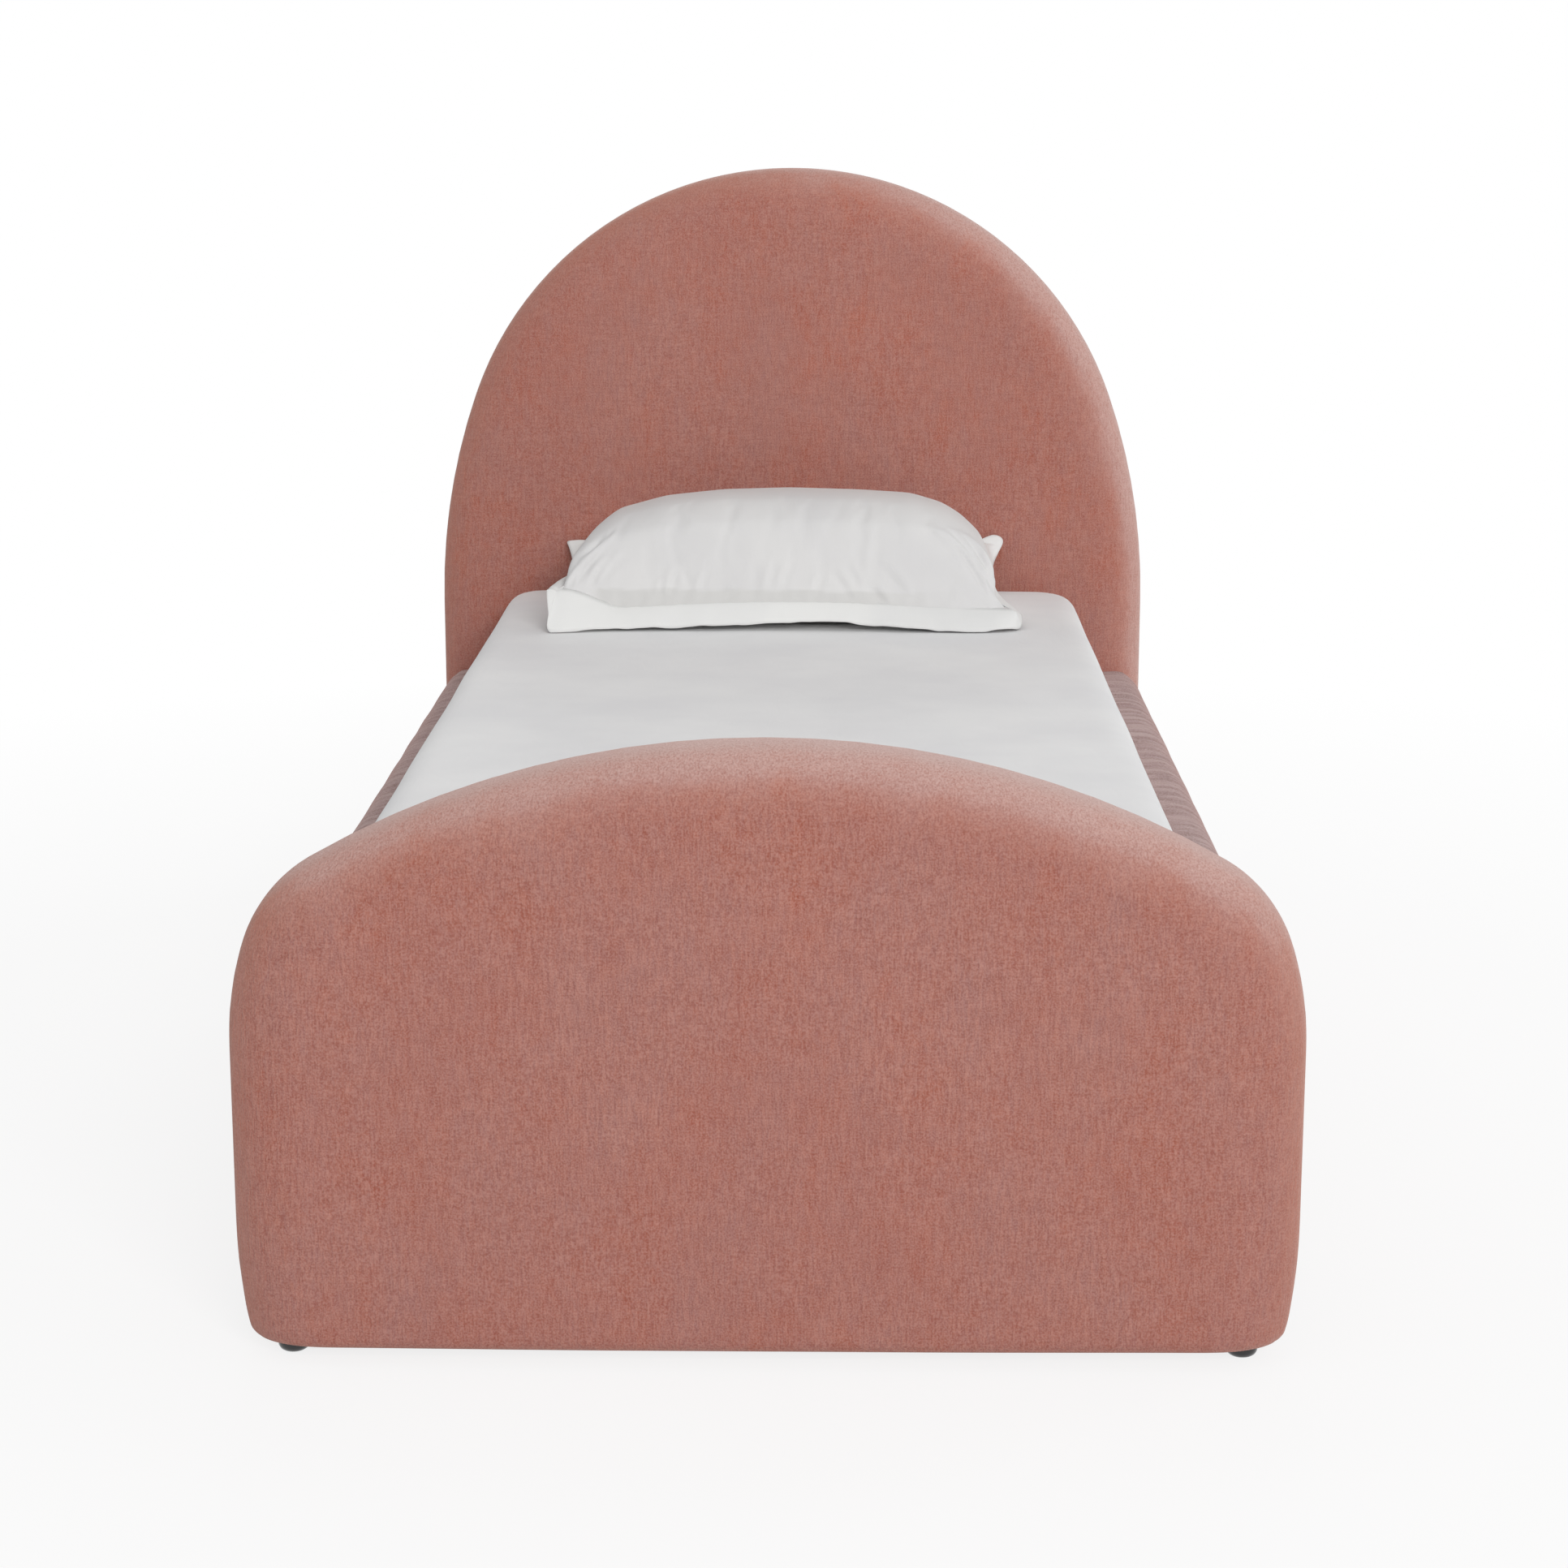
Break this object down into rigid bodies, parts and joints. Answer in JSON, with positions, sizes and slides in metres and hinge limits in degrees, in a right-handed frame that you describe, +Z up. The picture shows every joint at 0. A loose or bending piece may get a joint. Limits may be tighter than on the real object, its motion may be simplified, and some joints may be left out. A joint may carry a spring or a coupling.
{
  "type": "panel bed",
  "caption": "Single padded panel bed with arched head and foot boards, padded side rails, slatted base, sheeted mattress and pillow.",
  "frame": {"origin": "on the floor under the middle of the bed", "axes": "+Z up, +Y towards the headboard, +X to the right seen from the footboard"},
  "size_m": [1.206, 2.209, 1.267],
  "materials": {
    "velvet": "dusty salmon-rose woven velvet, soft sheen at grazing angles, fine vertical slub",
    "upholstery_foam": "cut polyurethane foam, open cells",
    "frame_plywood": "raw birch plywood, matt",
    "frame_timber": "raw planed pine, matt",
    "slat_wood": "sanded pine, matt",
    "black_steel": "black powder coat, fine satin grain",
    "plated_steel": "bright zinc plate",
    "insert_brass": "machined brass",
    "black_nylon": "moulded nylon, matt",
    "glide_plastic": "moulded polypropylene, glossy black",
    "dust_cloth": "black non-woven polypropylene, matt",
    "webbing": "woven polyester tape",
    "mattress_foam": "cut polyurethane foam, open cells",
    "sheet_cotton": "white cotton percale, fitted, lightly creased",
    "pillowcase_cotton": "white cotton sateen, soft creases",
    "pillow_fibre": "white hollow-fibre filling"
  },
  "bodies": {
    "bed_frame": {"headboard_inner_panel": "frame_plywood", "headboard_outer_panel": "frame_plywood", "headboard_posts": "frame_timber", "headboard_cross_rails": "frame_timber", "headboard_arch_rib": "frame_plywood", "headboard_mount_blocks": "frame_timber", "headboard_foam": "upholstery_foam", "headboard_cover": "velvet", "footboard_inner_panel": "frame_plywood", "footboard_outer_panel": "frame_plywood", "footboard_posts": "frame_timber", "footboard_cross_rails": "frame_timber", "footboard_arch_rib": "frame_plywood", "footboard_mount_blocks": "frame_timber", "footboard_foam": "upholstery_foam", "footboard_cover": "velvet", "right_rail_panels": "frame_plywood", "right_rail_studs": "frame_timber", "right_rail_foam": "upholstery_foam", "right_rail_cover": "velvet", "right_slat_ledge": "frame_timber", "left_rail_panels": "frame_plywood", "left_rail_studs": "frame_timber", "left_rail_foam": "upholstery_foam", "left_rail_cover": "velvet", "left_slat_ledge": "frame_timber", "corner_glides": "glide_plastic", "glide_pins": "plated_steel", "dust_cloths": "dust_cloth", "slats": "slat_wood", "slat_webbing": "webbing", "slat_screws": "plated_steel", "ledge_screws": "plated_steel", "centre_beam": "frame_timber", "beam_cradles": "black_steel", "support_legs": "black_steel", "leg_screws": "plated_steel", "leg_plugs": "black_nylon", "corner_brackets": "black_steel", "frame_bolts": "plated_steel", "threaded_inserts": "insert_brass"},
    "mattress": {"mattress_base_foam": "mattress_foam", "mattress_comfort_foam": "mattress_foam", "mattress_cover": "sheet_cotton"},
    "pillow": {"pillow_fill": "pillow_fibre", "pillowcase": "pillowcase_cotton"},
    "rear_foot_pad": {"rear_leveller_pad": "black_nylon"},
    "rear_foot_stem": {"rear_leveller_stem": "plated_steel"},
    "front_foot_pad": {"front_leveller_pad": "black_nylon"},
    "front_foot_stem": {"front_leveller_stem": "plated_steel"}
  },
  "joints": [
    {"name": "mattress_lift", "type": "slide", "parent": "bed_frame", "child": "mattress", "axis": [0, 0, 1], "range_m": [0, 0.35]},
    {"name": "pillow_lift", "type": "slide", "parent": "mattress", "child": "pillow", "axis": [0, 0, 1], "range_m": [0, 0.25]},
    {"name": "rear_foot_travel", "type": "slide", "parent": "bed_frame", "child": "rear_foot_pad", "axis": [0, 0, 1], "range_m": [0, 0.01]},
    {"name": "rear_foot_screw", "type": "hinge", "parent": "rear_foot_pad", "child": "rear_foot_stem", "pos_m": [0, 0.48225, 0], "axis": [0, 0, 1], "range_deg": [0, 2400]},
    {"name": "front_foot_travel", "type": "slide", "parent": "bed_frame", "child": "front_foot_pad", "axis": [0, 0, 1], "range_m": [0, 0.01]},
    {"name": "front_foot_screw", "type": "hinge", "parent": "front_foot_pad", "child": "front_foot_stem", "pos_m": [0, -0.48225, 0], "axis": [0, 0, 1], "range_deg": [0, 2400]}
  ],
  "couplings": [
    {"joint": "rear_foot_travel", "follows": "rear_foot_screw", "m_per_rad": 0.0002387},
    {"joint": "front_foot_travel", "follows": "front_foot_screw", "m_per_rad": 0.0002387}
  ]
}
